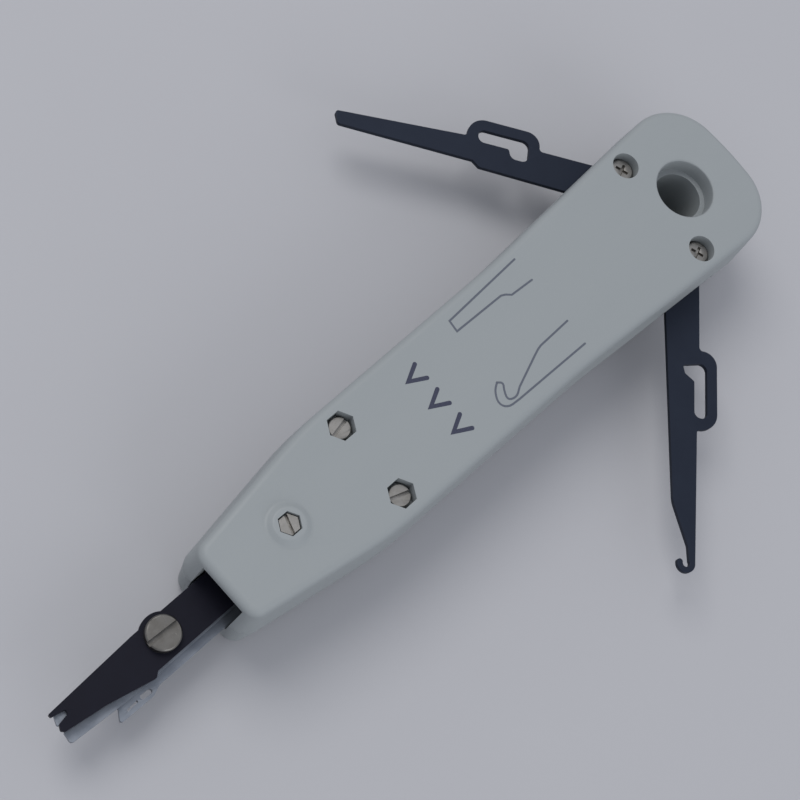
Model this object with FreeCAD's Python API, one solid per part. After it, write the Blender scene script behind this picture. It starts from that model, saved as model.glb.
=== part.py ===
import FreeCAD, Part
import math
import os

# Insertion (punch down) tool for insulation-displacement terminals, in millimetres.
# Origin: axis of the hanging hole at the back face. +X runs to the nose, +Z out of the front face,
# and the wire hook is on the +Y side.

# Handle
THICKNESS = 22.0
PARTING_Z = THICKNESS / 2
HOLE_R = 5.2
HOLE_RECESS_R = 6.2
HOLE_RECESS_DEPTH = 4.0
HOLE_CHAMFER = 0.4
TAIL_X = -16.4
NOSE_END_X = 128.7
WAIST_X = 45.0
SHOULDER_X = 98.0
DRAFT_INSET = 0.9
FACE_EDGE_R = 1.7
PARTING_GROOVE = 0.25
MOUTH_TOP_Z = 20.0

# Screws that hold the two shells together
SHELL_SCREW_X = 92.0
SHELL_SCREW_Y = 8.1
HEX_RECESS_AF = 5.0
HEX_RECESS_DEPTH = 3.0
SLOTTED_HEAD_R = 2.2
SLOTTED_HEAD_H = 1.6
M25_SHANK_R = 1.25
NUT_POCKET_DEPTH = 2.3
NUT_H = 2.0

# Guide screw: crosses the handle near the nose, and its sleeve is the pin of the cutter's cam slot
GUIDE_X = 112.0
GUIDE_Y = -0.8
GUIDE_BOSS_R = 4.5
GUIDE_BOSS_TOP_R = 3.0
GUIDE_BOSS_H = 1.0
GUIDE_HEX_AF = 4.0
GUIDE_SHANK_R = 1.0
GUIDE_SLEEVE_R = 1.6

# Fold-out blades and their pivots
PIVOT_X = 7.2
PIVOT_Y = 11.3
PIVOT_RECESS_R = 2.8
PIVOT_HEAD_R = 2.6
PIVOT_HEAD_H = 1.6
PIVOT_SEAT_Z = 18.4
PIVOT_SLEEVE_R = 2.2
BLADE_T = 1.0
BLADE_END_R = 3.9
BLADE_GAP = 0.3
STRIP_OPEN_DEG = 51.0
HOOK_OPEN_DEG = 42.0
STRIP_LENGTH = 58.6
HOOK_LENGTH = 64.4
POCKET_START_X = 1.6
POCKET_END_X = 75.0

# Nose: a stack of plates on one screw, which slides into the handle
TRAVEL = 5.0
CUTTER_CLOSE_DEG = 6.0
PIVOT_SCREW_X = 138.8
PIVOT_SCREW_Y = -1.2
CARRIER_Z = 7.3
CARRIER_T = 1.2
CUTTER_T = 1.1
CUTTER_Z = 8.6
FIXED_Z = 9.8
PUSHER_Z = FIXED_Z + CUTTER_T
PUSHER_T = 1.2
STACK_TOP_Z = PUSHER_Z + PUSHER_T
TIP_X = 162.2
NOSE_HEAD_R = 3.25
NOSE_HEAD_H = 1.8
NOSE_SHANK_R = 1.5
NOSE_SLEEVE_R = 2.2
RUNNING_FIT = 0.05

# Slide block, return spring and plunger rod behind the plates
BLOCK_X = 97.0
BLOCK_LENGTH = 10.0
BLOCK_HALF_W = 3.6
BLOCK_Z = 5.4
BLOCK_H = 9.0
SLIDE_GAP = 0.3
ROD_Z = BLOCK_Z + BLOCK_H / 2
ROD_R = 1.5
ROD_END_X = 65.0
SEAT_X = 70.0
SEAT_T = 2.0
SPRING_COIL_R = 2.5
SPRING_WIRE = 0.8
SPRING_COILS = 7
RIVET_R = 0.9
RIVET_XS = (101.0, 104.6)
TAIL_HALF_W = 2.4


def vector(x, y, z=0.0):
    return FreeCAD.Vector(x, y, z)


def rounded_wire(corners, z):
    """Closed outline through corners (x, y, radius), each rounded by a tangent arc."""
    count = len(corners)
    stretches = []
    for i in range(count):
        x, y, radius = corners[i]
        here = vector(x, y, z)
        before = vector(corners[i - 1][0], corners[i - 1][1], z) - here
        after = vector(corners[(i + 1) % count][0], corners[(i + 1) % count][1], z) - here
        before.normalize()
        after.normalize()
        half = before.getAngle(after) / 2
        if radius == 0:
            stretches.append((here, None, here))
            continue
        reach = radius / math.tan(half)
        bisector = before + after
        bisector.normalize()
        middle = here + bisector * (radius / math.sin(half) - radius)
        stretches.append((here + before * reach, middle, here + after * reach))
    edges = []
    for i in range(count):
        start, middle, end = stretches[i]
        if middle is not None:
            edges.append(Part.Arc(start, middle, end).toShape())
        following = stretches[(i + 1) % count][0]
        if end.distanceToPoint(following) > 1e-6:
            edges.append(Part.LineSegment(end, following).toShape())
    return Part.Wire(edges)


def plate(corners, z, thickness):
    return Part.Face(rounded_wire(corners, z)).extrude(vector(0, 0, thickness))


def disc(x, y, radius, z, height):
    return Part.makeCylinder(radius, height, vector(x, y, z))


def rod_along_x(radius, x, length, z):
    return Part.makeCylinder(radius, length, vector(x, 0, z), vector(1, 0, 0))


def block(x0, x1, y0, y1, z0, z1):
    return Part.makeBox(x1 - x0, y1 - y0, z1 - z0, vector(x0, y0, z0))


def hexagon(x, y, across_flats, z, height):
    """Hexagonal prism with two of its corners along X."""
    corner_r = across_flats / math.sqrt(3)
    turns = [math.radians(60 * i) for i in range(6)]
    corners = [(x + corner_r * math.cos(a), y + corner_r * math.sin(a), 0) for a in turns]
    return plate(corners, z, height)


def long_slot(start, end, radius, z, height):
    """Slot with round ends between two points."""
    (x0, y0), (x1, y1) = start, end
    length = math.hypot(x1 - x0, y1 - y0)
    nx, ny = -(y1 - y0) / length * radius, (x1 - x0) / length * radius
    sides = [(x0 + nx, y0 + ny, 0), (x1 + nx, y1 + ny, 0), (x1 - nx, y1 - ny, 0), (x0 - nx, y0 - ny, 0)]
    ends = [disc(x0, y0, radius, z, height), disc(x1, y1, radius, z, height)]
    return plate(sides, z, height).multiFuse(ends).removeSplitter()


def screwdriver_slot(x, y, top_z, length, angle_deg, width=0.8, depth=0.8):
    slot = block(-length / 2, length / 2, -width / 2, width / 2, top_z - depth, top_z + 0.1)
    slot.rotate(vector(0, 0), vector(0, 0, 1), angle_deg)
    slot.translate(vector(x, y))
    return slot


def both_sides(y):
    return (-y, y)


# ---------------------------------------------------------------- handle shells

def handle_outline(z):
    half = [(TAIL_X + 1.1, 18.0, 12.0), (WAIST_X, 14.3, 150.0),
            (SHOULDER_X, 13.6, 80.0), (NOSE_END_X, 8.6, 3.6)]
    mirrored = [(x, -y, radius) for x, y, radius in reversed(half)]
    return rounded_wire([(TAIL_X, 0, 60.0)] + half + mirrored, z)


def half_body(face_z):
    """One solid half of the handle, drafted towards its outer face and rounded round that face."""
    outline = handle_outline(PARTING_Z)
    inset = outline.makeOffset2D(-DRAFT_INSET)
    inset.translate(vector(0, 0, face_z - PARTING_Z))
    body = Part.makeLoft([outline, inset], True, True)
    face_edges = [e for e in body.Edges if abs(e.BoundBox.ZMin - face_z) < 1e-3 and e.BoundBox.ZLength < 1e-3]
    body = body.makeFillet(FACE_EDGE_R, face_edges)
    joint_edges = [e for e in body.Edges
                   if abs(e.BoundBox.ZMin - PARTING_Z) < 1e-3 and e.BoundBox.ZLength < 1e-3]
    return body.makeChamfer(PARTING_GROOVE, joint_edges)


def blade_pocket(side):
    """Flat pocket that opens along the side of the handle and takes one folded blade."""
    inner_start = side * (PIVOT_Y - BLADE_END_R - 0.5)
    inner_end = side * 4.9
    outside = side * 22.0
    corners = [(POCKET_START_X, outside, 0), (POCKET_START_X, inner_start, 3.5),
               (POCKET_END_X, inner_end, 1.5), (POCKET_END_X, outside, 0)]
    return plate(corners, PARTING_Z - BLADE_T / 2 - BLADE_GAP, BLADE_T + 2 * BLADE_GAP)


def pivot_cuts(y):
    recess = disc(PIVOT_X, y, PIVOT_RECESS_R, PIVOT_SEAT_Z, THICKNESS)
    shank = disc(PIVOT_X, y, M25_SHANK_R, 2.5, THICKNESS)
    sleeve = disc(PIVOT_X, y, PIVOT_SLEEVE_R, 9.3, 3.4)
    return [recess, shank, sleeve]


def shell_screw_cuts(y):
    head = hexagon(SHELL_SCREW_X, y, HEX_RECESS_AF, THICKNESS - HEX_RECESS_DEPTH, THICKNESS)
    shank = disc(SHELL_SCREW_X, y, M25_SHANK_R, 0, THICKNESS)
    nut = hexagon(SHELL_SCREW_X, y, HEX_RECESS_AF, 0, NUT_POCKET_DEPTH)
    return [head, shank, nut]


def nose_channel_cuts():
    """Room for the slide block, the spring, the rod and the swinging tail of the cutter."""
    travel_room = block(BLOCK_X - TRAVEL - 0.6, 108.5, -BLOCK_HALF_W - SLIDE_GAP, BLOCK_HALF_W + SLIDE_GAP,
                        BLOCK_Z - SLIDE_GAP, BLOCK_Z + BLOCK_H + SLIDE_GAP)
    low_z = CARRIER_Z - 0.4
    tail_room = block(101.0, 123.0, -6.9, 6.3, low_z, STACK_TOP_Z + 0.4)
    mouth = block(122.0, NOSE_END_X + 1, -4.9, 5.2, low_z, MOUTH_TOP_Z)
    spring_bore = rod_along_x(3.4, SEAT_X + SEAT_T, BLOCK_X - TRAVEL - SEAT_X - SEAT_T, ROD_Z)
    clip_room = rod_along_x(3.6, ROD_END_X - TRAVEL - 1.0, SEAT_X - ROD_END_X + TRAVEL + 1.0, ROD_Z)
    seat = block(SEAT_X, SEAT_X + SEAT_T, -4.6, 4.6, ROD_Z - 4.6, ROD_Z + 4.6)
    return [travel_room, tail_room, mouth, spring_bore, clip_room, seat]


def guide_cuts():
    head = hexagon(GUIDE_X, GUIDE_Y, GUIDE_HEX_AF, THICKNESS - 0.8, 5.0)
    shank = disc(GUIDE_X, GUIDE_Y, GUIDE_SHANK_R, 0, THICKNESS)
    sleeve = disc(GUIDE_X, GUIDE_Y, GUIDE_SLEEVE_R, 5.6, 8.2)
    nut = hexagon(GUIDE_X, GUIDE_Y, GUIDE_HEX_AF, 0, 2.0)
    return [head, shank, sleeve, nut]


def handle_cuts():
    chamfer = Part.makeCone(HOLE_RECESS_R, HOLE_RECESS_R + HOLE_CHAMFER, HOLE_CHAMFER,
                            vector(0, 0, THICKNESS - HOLE_CHAMFER))
    recess = disc(0, 0, HOLE_RECESS_R, THICKNESS - HOLE_RECESS_DEPTH, HOLE_RECESS_DEPTH)
    cuts = [disc(0, 0, HOLE_R, 0, THICKNESS), recess, chamfer]
    for side in (-1, 1):
        cuts.append(blade_pocket(side))
        cuts += pivot_cuts(side * PIVOT_Y)
        cuts += shell_screw_cuts(side * SHELL_SCREW_Y)
    return cuts + nose_channel_cuts() + guide_cuts()


def guide_boss():
    """Raised boss of the front shell round the guide screw's head."""
    root = 0.4
    cone = Part.makeCone(GUIDE_BOSS_R, GUIDE_BOSS_TOP_R, GUIDE_BOSS_H, vector(GUIDE_X, GUIDE_Y, THICKNESS))
    top = [e for e in cone.Edges if abs(e.BoundBox.ZMin - THICKNESS - GUIDE_BOSS_H) < 1e-3]
    cone = cone.makeFillet(0.8, top)
    return cone.fuse(disc(GUIDE_X, GUIDE_Y, GUIDE_BOSS_R, THICKNESS - root, root))


def front_shell():
    body = half_body(THICKNESS).fuse(guide_boss())
    return body.cut(handle_cuts()).removeSplitter()


def back_shell():
    return half_body(0.0).cut(handle_cuts()).removeSplitter()


# ---------------------------------------------------------------- handle fasteners and pivots

def shell_screws():
    floor_z = THICKNESS - HEX_RECESS_DEPTH
    screws = []
    for y, angle in zip(both_sides(SHELL_SCREW_Y), (12, -18)):
        head = disc(SHELL_SCREW_X, y, SLOTTED_HEAD_R, floor_z, SLOTTED_HEAD_H)
        head = head.makeChamfer(0.2, [head.Edges[0]])
        shank = disc(SHELL_SCREW_X, y, M25_SHANK_R, 0.8, floor_z - 0.8)
        slot = screwdriver_slot(SHELL_SCREW_X, y, floor_z + SLOTTED_HEAD_H, 6, angle, 0.7)
        screws.append(head.fuse(shank).cut(slot))
    return Part.makeCompound(screws)


def shell_nuts():
    nuts = []
    for y in both_sides(SHELL_SCREW_Y):
        nut = hexagon(SHELL_SCREW_X, y, HEX_RECESS_AF, NUT_POCKET_DEPTH - NUT_H, NUT_H)
        nuts.append(nut.cut(disc(SHELL_SCREW_X, y, M25_SHANK_R, 0, 5)))
    return Part.makeCompound(nuts)


def guide_screw():
    head_z = THICKNESS - 0.8
    head_h = 1.3
    head = hexagon(GUIDE_X, GUIDE_Y, GUIDE_HEX_AF - 0.5, head_z, head_h)
    shank = disc(GUIDE_X, GUIDE_Y, GUIDE_SHANK_R, 0.8, head_z - 0.8)
    return head.fuse(shank).cut(screwdriver_slot(GUIDE_X, GUIDE_Y, head_z + head_h, 6, 71, 0.6))


def guide_sleeve():
    return disc(GUIDE_X, GUIDE_Y, GUIDE_SLEEVE_R, 5.6, 8.2).cut(disc(GUIDE_X, GUIDE_Y, GUIDE_SHANK_R, 0, 20))


def guide_nut():
    nut = hexagon(GUIDE_X, GUIDE_Y, GUIDE_HEX_AF, 0.4, 1.6)
    return nut.cut(disc(GUIDE_X, GUIDE_Y, GUIDE_SHANK_R, 0, 5))


def pivot_screws():
    screws = []
    for y in both_sides(PIVOT_Y):
        head = disc(PIVOT_X, y, PIVOT_HEAD_R, PIVOT_SEAT_Z, PIVOT_HEAD_H)
        head = head.makeChamfer(0.4, [head.Edges[0]])
        shank = disc(PIVOT_X, y, M25_SHANK_R, 2.5, PIVOT_SEAT_Z - 2.5)
        cross = [screwdriver_slot(PIVOT_X, y, PIVOT_SEAT_Z + PIVOT_HEAD_H, 2.8, angle, 0.6) for angle in (20, 110)]
        screws.append(head.fuse(shank).cut(cross))
    return Part.makeCompound(screws)


def pivot_sleeves():
    sleeves = [disc(PIVOT_X, y, PIVOT_SLEEVE_R, 9.3, 3.4).cut(disc(PIVOT_X, y, M25_SHANK_R, 0, 20))
               for y in both_sides(PIVOT_Y)]
    return Part.makeCompound(sleeves)


def friction_washers():
    """Thin washers under the blades, which hold them at any angle."""
    floor_z = PARTING_Z - BLADE_T / 2 - BLADE_GAP
    washers = [disc(PIVOT_X, y, 3.6, floor_z, 0.25).cut(disc(PIVOT_X, y, PIVOT_SLEEVE_R + 0.02, 0, 20))
               for y in both_sides(PIVOT_Y)]
    return Part.makeCompound(washers)


def spring_seat():
    seat = block(SEAT_X, SEAT_X + SEAT_T, -4.6, 4.6, ROD_Z - 4.6, ROD_Z + 4.6)
    return seat.cut(rod_along_x(ROD_R + RUNNING_FIT, SEAT_X - 1, SEAT_T + 2, ROD_Z))


# ---------------------------------------------------------------- fold-out blades

def thumb_loop(start, end):
    """Loop on the outer edge for the thumbnail, as an outline that joins the blade."""
    return [(start, 4.7, 0.8), (start, 8.6, 3.0), (end, 8.6, 3.8), (end + 0.4, 4.1, 0.8)]


def blade_blank(inner_edge, tip, loop, slot):
    """Flat blank with its pivot at the origin, pointing along +X, thumb loop towards +Y."""
    outline = [(-1.0, -BLADE_END_R, 3.0)] + inner_edge + tip + list(reversed(loop)) + [(-1.0, 4.7, 3.4)]
    blank = plate(outline, -BLADE_T / 2, BLADE_T)
    blank = blank.fuse(disc(0, 0, BLADE_END_R, -BLADE_T / 2, BLADE_T))
    bore = disc(0, 0, PIVOT_SLEEVE_R + RUNNING_FIT, -BLADE_T, 3 * BLADE_T)
    return blank.cut([bore, plate(slot, -BLADE_T, 3 * BLADE_T)]).removeSplitter()


def strip_blade():
    inner_edge = [(8.0, -2.9, 8.0), (27.5, -2.4, 0.6), (29.0, -1.2, 0.6)]
    tip = [(STRIP_LENGTH - 1.0, -0.8, 0.8), (STRIP_LENGTH, 2.0, 0.6)]
    slot = [(17.2, 1.3, 1.5), (21.0, 1.3, 1.5), (21.6, 3.35, 0.5),
            (28.4, 3.35, 1.4), (28.4, 6.25, 1.4), (17.2, 6.25, 1.6)]
    blade = blade_blank(inner_edge, tip, thumb_loop(15.0, 30.4), slot)
    blade = blade.mirror(vector(0, 0), vector(0, 1, 0))
    blade.rotate(vector(0, 0), vector(0, 0, 1), -STRIP_OPEN_DEG)
    blade.translate(vector(PIVOT_X, -PIVOT_Y, PARTING_Z))
    return blade


def hook_blade():
    """Blade that ends in a small round hook, open towards the pivot."""
    hook_r, throat_r = 1.9, 0.75
    hook_x, hook_y = HOOK_LENGTH - hook_r, 3.65 - hook_r
    finger_x, finger_r = hook_x - 0.2, (hook_r - throat_r) / 2
    inner_edge = [(8.0, -2.9, 8.0), (50.3, -1.1, 6.0), (59.0, 2.1, 3.0)]
    tip = [(hook_x, 2.4, 0), (hook_x, 3.65, 0)]
    slot = [(21.1, 1.0, 0.6), (22.9, 1.5, 0.6), (24.3, 3.55, 0.6),
            (32.1, 3.55, 1.38), (32.1, 6.4, 1.38), (19.9, 6.4, 1.5)]
    throat = disc(hook_x, hook_y, throat_r, -BLADE_T, 3 * BLADE_T)
    opening = block(hook_x - 4, finger_x, hook_y - 4, hook_y + throat_r - 0.05, -BLADE_T, BLADE_T)
    curl = disc(hook_x, hook_y, hook_r, -BLADE_T / 2, BLADE_T).cut([throat, opening])
    finger_end = disc(finger_x, hook_y - throat_r - finger_r, finger_r, -BLADE_T / 2, BLADE_T)
    blade = blade_blank(inner_edge, tip, thumb_loop(17.4, 34.2), slot)
    blade = blade.multiFuse([curl, finger_end]).cut(throat).removeSplitter()
    blade.rotate(vector(0, 0), vector(0, 0, 1), HOOK_OPEN_DEG)
    blade.translate(vector(PIVOT_X, PIVOT_Y, PARTING_Z))
    return blade


# ---------------------------------------------------------------- nose

def nose_plate_cuts(z, thickness, pivot_r):
    """Guide slot, pivot hole and rivet holes of a plate that slides with the nose."""
    guide = long_slot((GUIDE_X, GUIDE_Y), (GUIDE_X + TRAVEL, GUIDE_Y), GUIDE_SLEEVE_R + RUNNING_FIT, z, thickness)
    rivets = [disc(x, 0, RIVET_R, z, thickness) for x in RIVET_XS]
    return [guide, disc(PIVOT_SCREW_X, PIVOT_SCREW_Y, pivot_r, z, thickness)] + rivets


def plate_tail():
    """Rear end of the sliding plates, narrowed to enter the slide block."""
    return [(108.0, TAIL_HALF_W, 0.8), (BLOCK_X + 2.0, TAIL_HALF_W, 0.5),
            (BLOCK_X + 2.0, -TAIL_HALF_W, 0.5), (108.0, -TAIL_HALF_W, 0.8)]


def pusher_plate():
    """Blackened plate whose forked tip presses the wire into the contact."""
    upper = [(109.6, -4.6, 0.8), (143.0, -4.45, 3.0), (TIP_X - 0.2, -3.5, 0.2)]
    notch = [(TIP_X - 0.2, -2.85, 0.2), (TIP_X - 2.9, -2.3, 0.3), (TIP_X - 2.7, -1.5, 0.3),
             (TIP_X - 0.5, -1.1, 0.3), (TIP_X, -0.1, 0.3), (TIP_X - 0.5, 0.5, 0.4)]
    lower = [(153.4, 1.7, 12.0), (144.4, 3.8, 0.4), (143.4, 3.0, 0.4), (109.6, 3.0, 0.8)]
    body = plate(plate_tail() + upper + notch + lower, PUSHER_Z, PUSHER_T)
    eye = disc(PIVOT_SCREW_X, PIVOT_SCREW_Y, NOSE_HEAD_R + 0.85, PUSHER_Z, PUSHER_T)
    return body.fuse(eye).cut(nose_plate_cuts(PUSHER_Z, PUSHER_T, NOSE_SHANK_R)).removeSplitter()


def fixed_cutter():
    """Zinc-plated blade fixed under the pusher plate: its front edge is the anvil of the shears."""
    upper = [(109.6, -4.4, 0.8), (143.0, -4.2, 3.0), (TIP_X - 1.2, -3.5, 0.4)]
    anvil = [(TIP_X - 0.2, -1.0, 0.3), (152.6, -0.6, 2.0), (150.6, 2.4, 0.8)]
    lower = [(143.6, 3.4, 0.6), (109.6, 3.2, 0.8)]
    body = plate(plate_tail() + upper + anvil + lower, FIXED_Z, CUTTER_T)
    return body.cut(nose_plate_cuts(FIXED_Z, CUTTER_T, NOSE_SHANK_R)).removeSplitter()


def carrier_plate():
    """Zinc-plated plate at the back of the stack, with the slotted locating lug on its outer edge."""
    upper = [(109.6, -4.6, 0.8), (143.0, -4.3, 3.0), (151.5, -3.4, 1.5)]
    front = [(151.8, 0.8, 1.0), (152.0, 3.4, 0.5)]
    lug = [(153.4, 5.5, 0.4), (146.0, 5.7, 0.8), (144.0, 4.9, 1.5)]
    lower = [(109.6, 4.9, 0.8)]
    body = plate(plate_tail() + upper + front + lug + lower, CARRIER_Z, CARRIER_T)
    lug_slot = long_slot((146.0, 4.6), (147.5, 4.5), 0.45, CARRIER_Z, CARRIER_T)
    lug_slit = long_slot((148.8, 4.5), (150.9, 4.6), 0.2, CARRIER_Z, CARRIER_T)
    cuts = nose_plate_cuts(CARRIER_Z, CARRIER_T, NOSE_SHANK_R)
    return body.cut(cuts + [lug_slot, lug_slit]).removeSplitter()


def guide_pin_in_cutter(travel):
    """Where the guide sleeve stands in the moving cutter's own frame after the nose has slid in."""
    angle = math.radians(CUTTER_CLOSE_DEG) * travel / TRAVEL
    dx = GUIDE_X - PIVOT_SCREW_X + travel
    dy = GUIDE_Y - PIVOT_SCREW_Y
    x = math.cos(angle) * dx - math.sin(angle) * dy
    y = math.sin(angle) * dx + math.cos(angle) * dy
    return (PIVOT_SCREW_X + x, PIVOT_SCREW_Y + y)


def cam_slot():
    """Curved slot that the fixed guide sleeve runs in, so that sliding in closes the shears."""
    steps = 5
    path = [guide_pin_in_cutter(TRAVEL * i / steps) for i in range(steps + 1)]
    pieces = [long_slot(path[i], path[i + 1], GUIDE_SLEEVE_R + RUNNING_FIT, CUTTER_Z, CUTTER_T)
              for i in range(steps)]
    return pieces[0].multiFuse(pieces[1:]).removeSplitter()


def moving_cutter():
    """Zinc-plated shear blade that turns on the nose screw."""
    tail = [(108.4, 2.2, 2.0), (108.4, -3.2, 2.0), (113.5, -6.3, 3.0), (118.5, -6.3, 3.0), (123.0, -4.2, 3.0)]
    upper = [(138.0, -4.4, 6.0), (146.0, -3.4, 3.0)]
    edge = [(150.8, 0.9, 2.0), (TIP_X - 0.6, 0.35, 0.2)]
    outer = [(TIP_X - 0.3, 2.6, 0.6), (150.0, 3.4, 6.0), (142.0, 3.6, 3.0), (125.0, 2.4, 4.0)]
    body = plate(tail + upper + edge + outer, CUTTER_Z, CUTTER_T)
    bore = disc(PIVOT_SCREW_X, PIVOT_SCREW_Y, NOSE_SLEEVE_R + RUNNING_FIT, CUTTER_Z, CUTTER_T)
    return body.cut([bore, cam_slot()]).removeSplitter()


def nose_screw():
    head = disc(PIVOT_SCREW_X, PIVOT_SCREW_Y, NOSE_HEAD_R, STACK_TOP_Z, NOSE_HEAD_H)
    head = head.makeChamfer(0.25, [head.Edges[0]])
    shank = disc(PIVOT_SCREW_X, PIVOT_SCREW_Y, NOSE_SHANK_R, 4.9, STACK_TOP_Z - 4.9)
    slot = screwdriver_slot(PIVOT_SCREW_X, PIVOT_SCREW_Y, STACK_TOP_Z + NOSE_HEAD_H, 8, -3, 0.9, 0.9)
    return head.fuse(shank).cut(slot)


def nose_sleeve():
    """Spacer between the carrier plate and the fixed cutter: the moving cutter turns on it."""
    low_z = CARRIER_Z + CARRIER_T
    sleeve = disc(PIVOT_SCREW_X, PIVOT_SCREW_Y, NOSE_SLEEVE_R, low_z, FIXED_Z - low_z)
    return sleeve.cut(disc(PIVOT_SCREW_X, PIVOT_SCREW_Y, NOSE_SHANK_R, 0, 20))


def nose_nut():
    nut = hexagon(PIVOT_SCREW_X, PIVOT_SCREW_Y, 5.5, CARRIER_Z - 2.2, 2.2)
    return nut.cut(disc(PIVOT_SCREW_X, PIVOT_SCREW_Y, NOSE_SHANK_R, 0, 20))


def slide_block():
    """Nylon block that the plate tails are riveted into, sliding in the handle's channel."""
    body = block(BLOCK_X, BLOCK_X + BLOCK_LENGTH, -BLOCK_HALF_W, BLOCK_HALF_W, BLOCK_Z, BLOCK_Z + BLOCK_H)
    body = body.makeChamfer(0.4, [e for e in body.Edges if e.BoundBox.XLength > 1])
    inside = BLOCK_X + 2.0
    seats = [block(inside, 120, -TAIL_HALF_W, TAIL_HALF_W, FIXED_Z, STACK_TOP_Z),
             block(inside, 120, -TAIL_HALF_W, TAIL_HALF_W, CARRIER_Z, CARRIER_Z + CARRIER_T)]
    rivets = [disc(x, 0, RIVET_R, 0, THICKNESS) for x in RIVET_XS]
    return body.cut(seats + rivets + [rod_along_x(ROD_R, BLOCK_X - 1, 2.6, ROD_Z)])


def block_rivets():
    return Part.makeCompound([disc(x, 0, RIVET_R, BLOCK_Z, BLOCK_H) for x in RIVET_XS])


def plunger_rod():
    rod = rod_along_x(ROD_R, ROD_END_X, BLOCK_X + 1.6 - ROD_END_X, ROD_Z)
    rod = rod.makeChamfer(0.3, [e for e in rod.Edges if abs(e.BoundBox.XMax - ROD_END_X) < 1e-3])
    groove = rod_along_x(ROD_R + 1, SEAT_X - 0.8, 0.7, ROD_Z).cut(rod_along_x(1.05, SEAT_X - 1, 2, ROD_Z))
    return rod.cut(groove)


def rod_clip():
    """Retaining clip that stops the nose at its outer end against the spring seat."""
    clip = rod_along_x(3.0, SEAT_X - 0.75, 0.6, ROD_Z).cut(rod_along_x(1.05, SEAT_X - 2, 4, ROD_Z))
    return clip.cut(block(SEAT_X - 2, SEAT_X, -0.7, 0.7, ROD_Z - 4, ROD_Z))


def main_spring():
    """Return spring of square wire round the plunger rod, between the seat and the slide block."""
    half = SPRING_WIRE / 2
    length = BLOCK_X - SEAT_X - SEAT_T - SPRING_WIRE - 0.2
    helix = Part.makeHelix(length / SPRING_COILS, length, SPRING_COIL_R)
    section = Part.makePolygon([vector(SPRING_COIL_R + u * half, 0, v * half)
                                for u, v in ((-1, -1), (1, -1), (1, 1), (-1, 1), (-1, -1))])
    spring = Part.Wire(helix).makePipeShell([section], True, True)
    spring.rotate(vector(0, 0), vector(0, 1, 0), 90)
    spring.translate(vector(SEAT_X + SEAT_T + half + 0.1, 0, ROD_Z))
    return spring


PARTS = [
    front_shell, back_shell, shell_screws, shell_nuts, guide_screw, guide_sleeve, guide_nut,
    pivot_screws, pivot_sleeves, friction_washers, spring_seat, main_spring,
    strip_blade, hook_blade,
    pusher_plate, fixed_cutter, carrier_plate, moving_cutter, nose_screw, nose_sleeve, nose_nut,
    slide_block, block_rivets, plunger_rod, rod_clip,
]

os.makedirs("parts", exist_ok=True)
for make in PARTS:
    shape = make()
    shape.exportStep("parts/" + make.__name__ + ".step")
    print(make.__name__, shape.isValid(), len(shape.Solids), round(shape.Volume, 1))
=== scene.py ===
import math

import bmesh
import bpy
from mathutils import Matrix, Vector


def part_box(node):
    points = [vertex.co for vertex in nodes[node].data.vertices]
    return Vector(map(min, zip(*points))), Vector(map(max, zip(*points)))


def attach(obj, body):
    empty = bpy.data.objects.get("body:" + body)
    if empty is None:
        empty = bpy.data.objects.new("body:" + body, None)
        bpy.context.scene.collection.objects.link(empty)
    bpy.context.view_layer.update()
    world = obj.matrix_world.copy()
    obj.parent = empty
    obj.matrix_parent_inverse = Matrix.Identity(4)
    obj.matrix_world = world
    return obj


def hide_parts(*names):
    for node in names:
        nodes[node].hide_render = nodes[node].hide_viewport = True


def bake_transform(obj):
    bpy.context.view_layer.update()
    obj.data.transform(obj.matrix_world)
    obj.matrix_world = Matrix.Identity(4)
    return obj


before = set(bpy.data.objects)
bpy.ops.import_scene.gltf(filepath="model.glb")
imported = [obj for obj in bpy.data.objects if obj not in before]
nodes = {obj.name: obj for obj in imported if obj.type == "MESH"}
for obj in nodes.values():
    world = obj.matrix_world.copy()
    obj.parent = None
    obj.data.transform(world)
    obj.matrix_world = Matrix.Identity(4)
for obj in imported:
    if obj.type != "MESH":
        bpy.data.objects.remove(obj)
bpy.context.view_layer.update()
MM = 0.001


# ---- Handle shells ---------------------------------------------------------------------------
# Two halves moulded in light grey ABS in a fine spark-eroded tool, so the face has a soft even
# grain. Screws clamp them together on the parting line, half way up the sides. The rounded edges
# are a lighter grey: partly smoothed by handling, partly a painted sheen.


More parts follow.
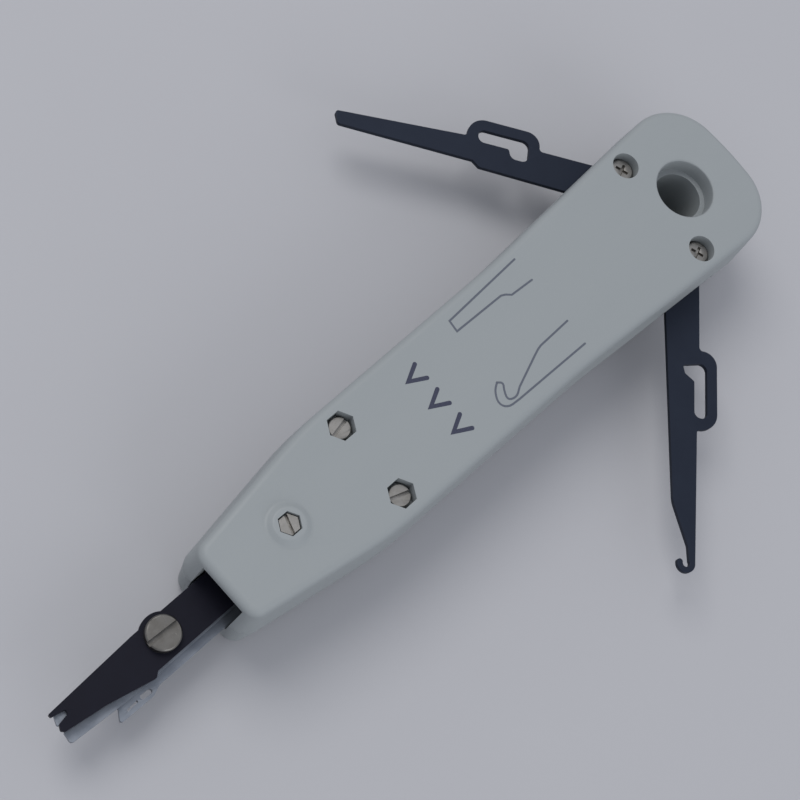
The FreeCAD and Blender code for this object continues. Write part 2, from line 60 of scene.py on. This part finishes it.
class Shade:
    """One socket of a material. Sums on values written in Python add the Math nodes they need."""

    def __init__(self, tree, socket):
        self.tree = tree
        self.socket = socket

    def node(self, kind, settings, inputs, output=0):
        """Add a node: its settings first, then the values or links of its sockets."""
        made = self.tree.nodes.new(kind)
        for name, value in settings.items():
            if name == "stops":
                ramp = made.color_ramp
                ramp.elements[0].position, ramp.elements[0].color = value[0]
                ramp.elements[1].position, ramp.elements[1].color = value[-1]
                for position, color in value[1:-1]:
                    ramp.elements.new(position).color = color
            else:
                setattr(made, name, value)
        for key, value in inputs.items():
            if isinstance(value, Shade):
                self.tree.links.new(value.socket, made.inputs[key])
            else:
                made.inputs[key].default_value = value
        return Shade(self.tree, made.outputs[output])

    def maths(self, operation, *values):
        return self.node("ShaderNodeMath", {"operation": operation}, dict(enumerate(values)))

    def __add__(self, other):
        return self.maths("ADD", self, other)

    def __radd__(self, other):
        return self.maths("ADD", other, self)

    def __sub__(self, other):
        return self.maths("SUBTRACT", self, other)

    def __rsub__(self, other):
        return self.maths("SUBTRACT", other, self)

    def __mul__(self, other):
        return self.maths("MULTIPLY", self, other)

    def __rmul__(self, other):
        return self.maths("MULTIPLY", other, self)

    def __pow__(self, other):
        return self.maths("POWER", self, other)

    def sine(self):
        return self.maths("SINE", self)

    def between(self, low, high):
        """0 below low, 1 above high, and an eased step from one to the other."""
        settings = {"interpolation_type": "SMOOTHSTEP"}
        return self.node("ShaderNodeMapRange", settings, {"Value": self, "From Min": low, "From Max": high})

    def tint(self, first, second):
        """Colour that goes from first to second as this value goes from 0 to 1."""
        settings = {"data_type": "RGBA"}
        return self.node("ShaderNodeMix", settings, {0: self, 6: first, 7: second}, 2)

    def stretched(self, x, y, z):
        """Coordinates scaled by a different amount along each axis."""
        return self.node("ShaderNodeVectorMath", {"operation": "MULTIPLY"}, {0: self, 1: (x, y, z)})

    def cloud(self, scale, detail=3.0, roughness=0.5):
        inputs = {"Vector": self, "Scale": scale, "Detail": detail, "Roughness": roughness}
        return self.node("ShaderNodeTexNoise", {}, inputs)


class Finish:
    """A material under way: its object coordinates in millimetres and its shader."""

    def __init__(self, name):
        self.material = bpy.data.materials.new(name)
        self.material.use_nodes = True
        self.tree = self.material.node_tree
        self.shader = self.tree.nodes["Principled BSDF"]
        start = Shade(self.tree, None)
        place = start.node("ShaderNodeTexCoord", {}, {}, 3)
        self.mm = place.node("ShaderNodeVectorMath", {"operation": "SCALE"}, {0: place, "Scale": 1 / MM}, 0)

    def set(self, **sockets):
        for name, value in sockets.items():
            socket = self.shader.inputs[name.replace("_", " ")]
            if isinstance(value, Shade):
                self.tree.links.new(value.socket, socket)
            else:
                socket.default_value = value
        return self

    def relief(self, height, depth_mm):
        """Bump from a height that runs from 0 to 1 and stands for depth_mm."""
        inputs = {"Height": height, "Distance": depth_mm * MM, "Strength": 1.0}
        return self.set(Normal=height.node("ShaderNodeBump", {}, inputs))


def moulded_grey(name, polish_and_sheen):
    """Grained grey plastic. polish_and_sheen is how far handling has smoothed it, 0 on the faces, and also
    how much a painted sheen lightens its colour.
    """
    finish = Finish(name)
    mm = finish.mm
    grain = mm.cloud(3.2, 4.0, 0.62)
    orange_peel = mm.cloud(0.45, 2.0)
    flow = mm.stretched(0.25, 1.0, 1.0).cloud(0.11, 3.0)
    handled = mm.cloud(0.07, 4.0, 0.6).between(0.42, 0.66)
    scuffs = mm.stretched(0.18, 1.6, 1.6).cloud(1.4, 5.0, 0.7).between(0.68, 0.76)
    base = flow.tint((0.226, 0.246, 0.256, 1), (0.238, 0.257, 0.266, 1))
    # Scuffs lighten the grey at random. The polish term lightens the rounded edges as a painted sheen.
    scuffed_with_sheen = (scuffs * 0.22 + polish_and_sheen * 0.25).tint(base, (0.33, 0.35, 0.36, 1))
    rough = 0.52 - polish_and_sheen * 0.16 + grain * 0.10 - handled * 0.07 + scuffs * 0.08
    finish.set(Base_Color=scuffed_with_sheen, Roughness=rough, IOR=1.48)
    finish.relief(grain * 0.75 + orange_peel * 0.25 - scuffs * 0.10, 0.030 * (1 - polish_and_sheen * 0.6))
    return finish.material


MERGE_DISTANCE = 1e-7
FLAT_WITHIN_DEG = 0.02
SHELL_CORNER_DEG = 50
METAL_CORNER_DEG = 35


def eased_copy(node, width_mm, body, materials, corner_deg):
    """Copy of a CAD piece with each corner over corner_deg rounded a little, in the last material."""
    data = nodes[node].data.copy()
    mesh = bmesh.new()
    mesh.from_mesh(data)
    bmesh.ops.remove_doubles(mesh, verts=mesh.verts, dist=MERGE_DISTANCE)
    flat = math.radians(FLAT_WITHIN_DEG)
    bmesh.ops.dissolve_limit(mesh, angle_limit=flat, verts=mesh.verts, edges=mesh.edges)
    for face in mesh.faces:
        face.smooth = True
        face.material_index = 0
    mesh.to_mesh(data)
    mesh.free()
    data.materials.clear()
    for material in materials:
        data.materials.append(material)
    piece = bpy.data.objects.new(node + "_eased", data)
    bpy.context.scene.collection.objects.link(piece)
    edge = piece.modifiers.new("eased_edges", "BEVEL")
    edge.width = width_mm * MM
    edge.segments = 2
    edge.limit_method = "ANGLE"
    edge.angle_limit = math.radians(corner_deg)
    edge.use_clamp_overlap = True
    edge.loop_slide = False
    edge.material = len(materials) - 1
    shading = piece.modifiers.new("shading", "WEIGHTED_NORMAL")
    shading.keep_sharp = True
    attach(piece, body)
    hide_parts(node)
    return piece


grey_face = moulded_grey("moulded_grey_abs", 0.0)
# Edge copy: lighter grey on the rounded edges, a painted sheen as well as rubbing.
grey_sheen_edge = moulded_grey("moulded_grey_abs_rubbed_edge_painted_sheen", 1.0)
for name in ("front_shell", "back_shell"):
    eased_copy(name, 0.16, "handle", [grey_face, grey_sheen_edge], SHELL_CORNER_DEG)


# ---- Printed outlines and arrows -------------------------------------------------------------
# Pad printed on the front face in dark inks, two hundredths of a millimetre thick: the outline
# of each fold-out blade on that blade's own side, and three arrowheads towards the nose.

FACE_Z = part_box("back_shell")[1].z / MM * 2
INK_THICKNESS = 0.02
OUTLINE_WIDTH = 0.40
ARROWHEAD_WIDTH = 0.85
STROKE_END_TURNS = (18, 42, 66)
MITRE_LIMIT = 0.5
CORNER_CUT = 0.25
ARROW_TAIL_X = 72.8
ARROW_TIP_X = 76.2
ARROW_HALF_HEIGHT = 1.7
ARROW_YS = (-6.4, -0.2, 6.0)


def printing_ink(name, thick, thin):
    finish = Finish(name)
    speckle = finish.mm.cloud(6.0, 4.0, 0.7)
    finish.set(Base_Color=speckle.between(0.50, 0.74).tint(thick, thin), Roughness=0.38 + speckle * 0.2)
    finish.relief(speckle, 0.01)
    return finish.material


def between_points(start, end, share):
    return tuple(a * (1 - share) + b * share for a, b in zip(start, end))


def softened(points, passes):
    """The same line with every corner cut back, twice or more for a curve."""
    for _ in range(passes):
        cut = [points[0]]
        for start, end in zip(points, points[1:]):
            cut.append(between_points(start, end, CORNER_CUT))
            cut.append(between_points(start, end, 1 - CORNER_CUT))
        points = cut + [points[-1]]
    return points


def round_end(tip, outward, across, turns):
    """Rows that round one end of a stroke. outward and across are half the stroke's width long."""
    return [(tip + outward * math.cos(a), across * math.sin(a)) for a in turns]


def stroke_rows(points, width):
    """Left and right edge of a stroke: mitred at its corners and rounded at both ends."""
    half = width / 2
    along = [Vector(p) for p in points]
    first = (along[1] - along[0]).normalized()
    last = (along[-1] - along[-2]).normalized()
    turns = [math.radians(turn) for turn in STROKE_END_TURNS]
    rows = round_end(along[0], -first * half, first.orthogonal() * half, turns)
    for i, here in enumerate(along):
        before = (here - along[i - 1]).normalized() if i else first
        after = (along[i + 1] - here).normalized() if i + 1 < len(along) else last
        middle = (before + after).normalized()
        rows.append((here, middle.orthogonal() * half / max(MITRE_LIMIT, middle.dot(before))))
    rows += round_end(along[-1], last * half, last.orthogonal() * half, reversed(turns))
    return [(here + across, here - across) for here, across in rows]


def printed_line(name, points, width, ink):
    top, low = FACE_Z + INK_THICKNESS, FACE_Z - INK_THICKNESS
    mesh = bmesh.new()
    corners = [[mesh.verts.new((p.x * MM, p.y * MM, z * MM)) for z in (top, low) for p in row]
               for row in stroke_rows(points, width)]
    for a, b in zip(corners, corners[1:]):
        for start, end in ((0, 1), (1, 3), (3, 2), (2, 0)):
            mesh.faces.new((a[start], a[end], b[end], b[start]))
    for end in (corners[0], corners[-1]):
        mesh.faces.new((end[0], end[1], end[3], end[2]))
    bmesh.ops.recalc_face_normals(mesh, faces=mesh.faces)
    data = bpy.data.meshes.new(name)
    mesh.to_mesh(data)
    mesh.free()
    data.materials.append(ink)
    piece = bpy.data.objects.new(name, data)
    bpy.context.scene.collection.objects.link(piece)
    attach(piece, "handle")


grey_ink = printing_ink("grey_blue_ink", (0.070, 0.080, 0.105, 1), (0.12, 0.13, 0.155, 1))
blue_ink = printing_ink("dark_blue_ink", (0.016, 0.019, 0.045, 1), (0.05, 0.06, 0.10, 1))
strip_outline = [(41.6, -11.2), (61.3, -10.1), (61.6, -7.7), (49.3, -7.5),
                 (48.4, -7.1), (47.4, -6.3), (41.8, -6.0)]
hook_inner = softened([(59.6, 7.8), (61.5, 8.9), (63.4, 8.2), (62.6, 6.4), (61.6, 5.2), (62.6, 4.4)], 2)
hook_outer = softened([(62.6, 4.4), (64.2, 5.4), (65.4, 7.6), (64.3, 9.3), (61.4, 9.5)], 2)
hook_shank = [(42.1, 4.4), (50.2, 4.6), (51.2, 4.8), (52.4, 5.2)]
hook_outline = hook_shank + hook_inner + hook_outer[1:] + [(42.6, 9.9)]
printed_line("print_strip_blade", strip_outline, OUTLINE_WIDTH, grey_ink)
printed_line("print_hook_blade", hook_outline, OUTLINE_WIDTH, grey_ink)
for i, y in enumerate(ARROW_YS):
    low_y, high_y = y - ARROW_HALF_HEIGHT, y + ARROW_HALF_HEIGHT
    arrowhead = [(ARROW_TAIL_X, low_y), (ARROW_TIP_X, y), (ARROW_TAIL_X, high_y)]
    printed_line(f"print_arrowhead_{i}", arrowhead, ARROWHEAD_WIDTH, blue_ink)


# ---- Screws, nuts and other nickel-plated steel ----------------------------------------------
# Turned from bar, so a head carries fine rings round its own axis, then nickel plated. The
# sharp corners of a real part are broken by about 0.1 mm, which the copies add. The nose screw
# is darker than the others, with oil and wear.


def screw_axes(node):
    """Where the two screws of a node stand, or twice the same place for a single screw."""
    low, high = (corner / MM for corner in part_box(node))
    radius = (high.x - low.x) / 2
    return [(low.x + radius, low.y + radius), (low.x + radius, high.y - radius)]


CLEAN_NICKEL = (0.30, 0.29, 0.275)
DULL_NICKEL = (0.24, 0.23, 0.215)
OILED_TONE = 0.48


def turned_nickel(name, centers, tone=1.0):
    """Nickel plate over turned steel, with rings round each of the given axes (x, y in millimetres)."""
    finish = Finish(name)
    mm = finish.mm
    nearest = None
    for x, y in centers:
        away = mm.node("ShaderNodeVectorMath", {"operation": "SUBTRACT"}, {0: mm, 1: (x, y, 0)})
        flat = away.stretched(1, 1, 0)
        distance = flat.node("ShaderNodeVectorMath", {"operation": "LENGTH"}, {0: flat}, 1)
        nearest = distance if nearest is None else nearest.maths("MINIMUM", nearest, distance)
    rings = (nearest * 38 + mm.cloud(1.5) * 3).sine() * 0.5 + 0.5
    stain = mm.cloud(0.5, 3.0, 0.55).between(0.36, 0.70)
    scratch = mm.stretched(3.0, 0.5, 3.0).cloud(2.2, 4.0, 0.7).between(0.62, 0.72)
    clean, dull = ([c * tone for c in nickel] + [1] for nickel in (CLEAN_NICKEL, DULL_NICKEL))
    color = stain.tint(clean, dull)
    finish.set(Base_Color=(scratch * 0.3).tint(color, (0.48, 0.46, 0.44, 1)), Metallic=1.0)
    finish.set(Roughness=0.32 + rings * 0.08 + stain * 0.10)
    finish.relief(rings * 0.6 + scratch * 0.4, 0.006)
    return finish.material


def repaint(node, material):
    nodes[node].data.materials.clear()
    nodes[node].data.materials.append(material)


shell_screw_nickel = turned_nickel("nickel_shell_screws", screw_axes("shell_screws"))
guide_screw_nickel = turned_nickel("nickel_guide_screw", screw_axes("guide_nut"))
pivot_screw_nickel = turned_nickel("nickel_pivot_screws", screw_axes("pivot_screws"))
nose_screw_nickel = turned_nickel("nickel_nose_screw", screw_axes("nose_screw"), OILED_TONE)
eased_copy("shell_screws", 0.08, "handle", [shell_screw_nickel], METAL_CORNER_DEG)
eased_copy("shell_nuts", 0.10, "handle", [shell_screw_nickel], METAL_CORNER_DEG)
eased_copy("guide_screw", 0.07, "handle", [guide_screw_nickel], METAL_CORNER_DEG)
eased_copy("guide_nut", 0.08, "handle", [guide_screw_nickel], METAL_CORNER_DEG)
eased_copy("pivot_screws", 0.07, "handle", [pivot_screw_nickel], METAL_CORNER_DEG)
eased_copy("nose_screw", 0.10, "nose", [nose_screw_nickel], METAL_CORNER_DEG)
eased_copy("nose_nut", 0.12, "nose", [nose_screw_nickel], METAL_CORNER_DEG)
for name, material in (("guide_sleeve", guide_screw_nickel), ("pivot_sleeves", pivot_screw_nickel),
                       ("nose_sleeve", nose_screw_nickel), ("block_rivets", guide_screw_nickel),
                       ("plunger_rod", guide_screw_nickel)):
    repaint(name, material)


# ---- Fold-out blades -------------------------------------------------------------------------
# Punched from 1 mm spring steel and blued in hot salts: an almost black blue that is slightly
# cloudy, with thin bright lines where the punched corners have rubbed.


def blued_steel(name, wear):
    finish = Finish(name)
    mm = finish.mm
    cloudy = mm.cloud(0.22, 4.0, 0.6)
    rolled = mm.stretched(0.12, 1.6, 1.6).cloud(4.0, 3.0, 0.6)
    rubbed = mm.cloud(1.1, 5.0, 0.7).between(0.72 - wear * 1.6, 0.84 - wear)
    blue = cloudy.tint((0.008, 0.012, 0.024, 1), (0.014, 0.020, 0.035, 1))
    finish.set(Base_Color=rubbed.tint(blue, (0.11, 0.12, 0.145, 1)), Metallic=0.45 + rubbed * 0.4)
    finish.set(Roughness=0.48 + cloudy * 0.14 - rubbed * 0.08, Specular_IOR_Level=0.3)
    finish.relief(rolled * 0.7 + cloudy * 0.3, 0.010)
    return finish.material


blade_blue = blued_steel("blued_spring_steel", 0.0)
blade_edge = blued_steel("blued_spring_steel_rubbed_edge", 0.16)
eased_copy("strip_blade", 0.09, "strip_arm", [blade_blue, blade_edge], METAL_CORNER_DEG)
eased_copy("hook_blade", 0.09, "hook_arm", [blade_blue, blade_edge], METAL_CORNER_DEG)


# ---- Pusher plate ----------------------------------------------------------------------------
# The forked plate that presses the wire home. Hardened, black oxide, with the oil still in it,
# and rubbed to bare steel along the edges of the fork.


FORK_DEPTH = 4
FORK_END_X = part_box("pusher_plate")[1].x / MM
FORK_START_X = FORK_END_X - FORK_DEPTH


def black_oxide(name, wear):
    finish = Finish(name)
    mm = finish.mm
    oil = mm.cloud(0.35, 4.0, 0.6)
    ground = mm.stretched(0.15, 2.2, 2.2).cloud(5.0, 3.0, 0.6)
    tip = mm.node("ShaderNodeSeparateXYZ", {}, {0: mm}).between(FORK_START_X, FORK_END_X)
    rubbed = (mm.cloud(1.6, 5.0, 0.7) + tip * 0.10).between(0.76 - wear * 1.6, 0.88 - wear)
    black = oil.tint((0.0025, 0.0026, 0.0075, 1), (0.0055, 0.0058, 0.013, 1))
    finish.set(Base_Color=rubbed.tint(black, (0.17, 0.17, 0.18, 1)), Metallic=0.3 + rubbed * 0.5)
    finish.set(Roughness=0.46 + oil * 0.14 - rubbed * 0.08, Specular_IOR_Level=0.2)
    finish.relief(ground * 0.7 + oil * 0.3, 0.008)
    return finish.material


pusher_black = black_oxide("black_oxide_steel", 0.0)
pusher_edge = black_oxide("black_oxide_rubbed_edge", 0.14)
eased_copy("pusher_plate", 0.10, "nose", [pusher_black, pusher_edge], METAL_CORNER_DEG)


# ---- Shears and carrier plate ----------------------------------------------------------------
# Three steel pressings in blue zinc plate: a fine crystalline bloom, duller in random patches,
# a painted highlight on the corners, and the grinding marks of the cutting edges across them.


def blue_zinc(name, bright):
    finish = Finish(name)
    mm = finish.mm
    crystals = mm.node("ShaderNodeTexVoronoi", {"feature": "F1"}, {"Vector": mm, "Scale": 2.6}, 0)
    bloom = mm.cloud(0.3, 3.0, 0.55)
    ground = mm.stretched(1.8, 0.15, 1.8).cloud(5.0, 3.0, 0.6)
    dull = bloom.between(0.34, 0.70)
    # bright lightens the whole colour: a painted highlight on the corner faces.
    color = dull.tint((0.22 + bright, 0.24 + bright, 0.275 + bright, 1), (0.18, 0.20, 0.235, 1))
    finish.set(Base_Color=color, Metallic=0.8, Roughness=0.38 + dull * 0.12 + crystals * 0.06)
    finish.relief(crystals * 0.3 + ground * 0.7, 0.010)
    return finish.material


zinc = blue_zinc("blue_zinc_plate", 0.0)
# Corner faces painted lighter, as a highlight.
zinc_highlight_corner = blue_zinc("blue_zinc_painted_highlight_corner", 0.14)
eased_copy("fixed_cutter", 0.08, "nose", [zinc, zinc_highlight_corner], METAL_CORNER_DEG)
eased_copy("carrier_plate", 0.10, "nose", [zinc, zinc_highlight_corner], METAL_CORNER_DEG)
eased_copy("moving_cutter", 0.08, "cutter", [zinc, zinc_highlight_corner], METAL_CORNER_DEG)


# ---- Inside the handle -----------------------------------------------------------------------
# The nylon slide block, and the oiled spring steel of the return spring, its seat, the clip on
# the rod and the washers under the blades.


def natural_nylon():
    finish = Finish("natural_nylon")
    milky = finish.mm.cloud(0.4, 3.0)
    color = milky.tint((0.62, 0.60, 0.54, 1), (0.72, 0.70, 0.64, 1))
    finish.set(Base_Color=color, Roughness=0.42 + milky * 0.12)
    finish.relief(finish.mm.cloud(2.0, 3.0), 0.02)
    return finish.material


def oiled_spring_steel():
    finish = Finish("oiled_spring_steel")
    drawn = finish.mm.cloud(2.5, 4.0, 0.6)
    color = drawn.tint((0.30, 0.30, 0.31, 1), (0.42, 0.42, 0.43, 1))
    finish.set(Base_Color=color, Metallic=1.0, Roughness=0.26 + drawn * 0.14)
    finish.relief(drawn, 0.006)
    return finish.material


nylon = natural_nylon()
repaint("slide_block", nylon)
spring_steel = oiled_spring_steel()
for name in ("main_spring", "spring_seat", "rod_clip", "friction_washers"):
    repaint(name, spring_steel)
coils = bpy.data.objects.new("main_spring_coils", nodes["main_spring"].data.copy())
bpy.context.scene.collection.objects.link(coils)
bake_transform(coils)
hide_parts("main_spring")


# ---- Floor, light and camera -----------------------------------------------------------------
# A pale matt surface just under the back face, a soft lamp high on the strip blade's side, a
# wider and weaker one lower on the hook's side, and even light from all round.

FLOOR_SIZE = 4.0
FLOOR_PLACE = (0, 0, -0.00002)
SKY_COLOR = (0.90, 0.93, 1.0, 1)
SKY_STRENGTH = 0.72
MIDDLE = (0.075, 0.0, 0.01)
KEY_PLACE = (0.02, -0.60, 0.95)
FILL_PLACE = (0.25, 0.95, 0.42)


def pale_floor():
    finish = Finish("pale_floor")
    soft = finish.mm.cloud(0.012, 3.0)
    color = soft.tint((0.356, 0.356, 0.380, 1), (0.374, 0.377, 0.396, 1))
    finish.set(Base_Color=color, Roughness=0.9)
    return finish.material


bpy.ops.mesh.primitive_grid_add(size=FLOOR_SIZE, x_subdivisions=2, y_subdivisions=2, location=FLOOR_PLACE)
floor = bpy.context.active_object
floor.name = "floor"
floor.data.materials.append(pale_floor())

world = bpy.data.worlds.new("even_light")
world.use_nodes = True
world.node_tree.nodes["Background"].inputs["Color"].default_value = SKY_COLOR
world.node_tree.nodes["Background"].inputs["Strength"].default_value = SKY_STRENGTH
bpy.context.scene.world = world


def soft_lamp(name, place, aim, size, watts, color):
    lamp = bpy.data.lights.new(name, "AREA")
    lamp.shape = "DISK"
    lamp.size = size
    lamp.energy = watts
    lamp.color = color
    holder = bpy.data.objects.new(name, lamp)
    holder.location = place
    holder.rotation_euler = (Vector(aim) - Vector(place)).to_track_quat("-Z", "Y").to_euler()
    bpy.context.scene.collection.objects.link(holder)


soft_lamp("key_lamp", KEY_PLACE, MIDDLE, size=0.7, watts=6.0, color=(1.0, 0.985, 0.96))
soft_lamp("fill_lamp", FILL_PLACE, MIDDLE, size=0.8, watts=3.6, color=(0.96, 0.98, 1.0))

CAMERA_PLACE = Vector((0.2107, 0.0116, 0.2904))
CAMERA_AIM = Vector((0.0746, -0.0055, 0.0110))
CAMERA_ROLL_DEG = 41.65
LENS_MM = 73.95
camera = bpy.data.cameras.new("camera")
camera.lens = LENS_MM
camera.sensor_width = 36.0
holder = bpy.data.objects.new("camera", camera)
holder.location = CAMERA_PLACE
level = (CAMERA_AIM - CAMERA_PLACE).to_track_quat("-Z", "Y").to_matrix()
holder.rotation_euler = (level @ Matrix.Rotation(math.radians(CAMERA_ROLL_DEG), 3, "Z")).to_euler()
bpy.context.scene.collection.objects.link(holder)
bpy.context.scene.camera = holder
bpy.context.scene.view_settings.view_transform = "Standard"
